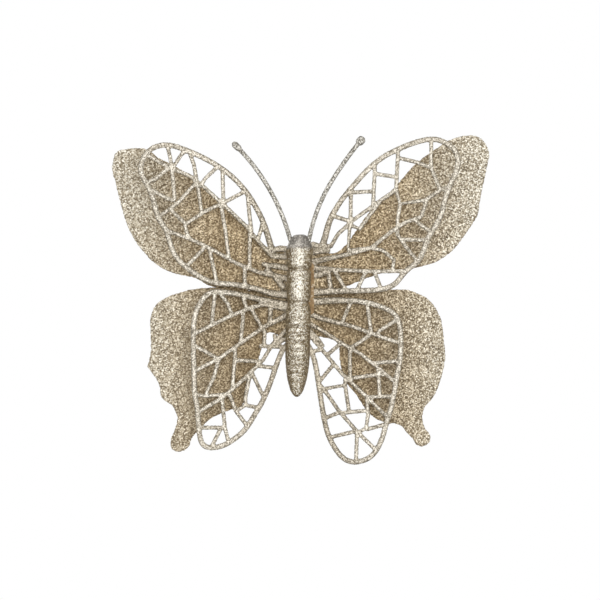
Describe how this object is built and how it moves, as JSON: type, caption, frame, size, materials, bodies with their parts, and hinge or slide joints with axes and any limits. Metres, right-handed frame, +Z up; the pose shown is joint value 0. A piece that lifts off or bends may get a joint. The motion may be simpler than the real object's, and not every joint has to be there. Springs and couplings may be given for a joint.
{
  "type": "butterfly ornament",
  "caption": "Glittered butterfly ornament: openwork wings over solid wings, a ringed body and antennae, on a sprung clip behind the body.",
  "frame": {"origin": "middle of the clip's grip, between its two jaws, on the body's middle line", "axes": "+Z up to the head, front of the wings towards -Y, +X to the right of the picture"},
  "size_m": [0.1508, 0.0285, 0.1323],
  "materials": {
    "glitter_panel": "champagne glitter, coarse, on thin plastic sheet",
    "glitter_lattice": "champagne glitter, coarse, on moulded ribs",
    "glitter_body": "champagne glitter, coarse, on a moulded body",
    "glue": "set hot glue, brownish",
    "clip_steel": "plated pressed steel",
    "spring_steel": "drawn spring wire"
  },
  "bodies": {
    "ornament": {"body": "glitter_body", "antenna_left": "glitter_body", "antenna_right": "glitter_body", "fore_wing_left": "glitter_panel", "fore_wing_right": "glitter_panel", "hind_wing_left": "glitter_panel", "hind_wing_right": "glitter_panel", "fore_lattice_left": "glitter_lattice", "fore_lattice_right": "glitter_lattice", "hind_lattice_left": "glitter_lattice", "hind_lattice_right": "glitter_lattice", "glue_body": "glue", "glue_clip": "glue", "clip_base": "clip_steel", "clip_pin": "clip_steel", "clip_spring": "spring_steel"},
    "clip_jaw": {"clip_lever": "clip_steel"}
  },
  "joints": [
    {"name": "clip_squeeze", "type": "hinge", "parent": "ornament", "child": "clip_jaw", "pos_m": [0, 0.00177, 0.014], "axis": [1, 0, 0], "range_deg": [0, 24], "stiffness_Nm_per_rad": 0.04, "springref_deg": -34.38, "deforming": ["clip_spring"]}
  ]
}
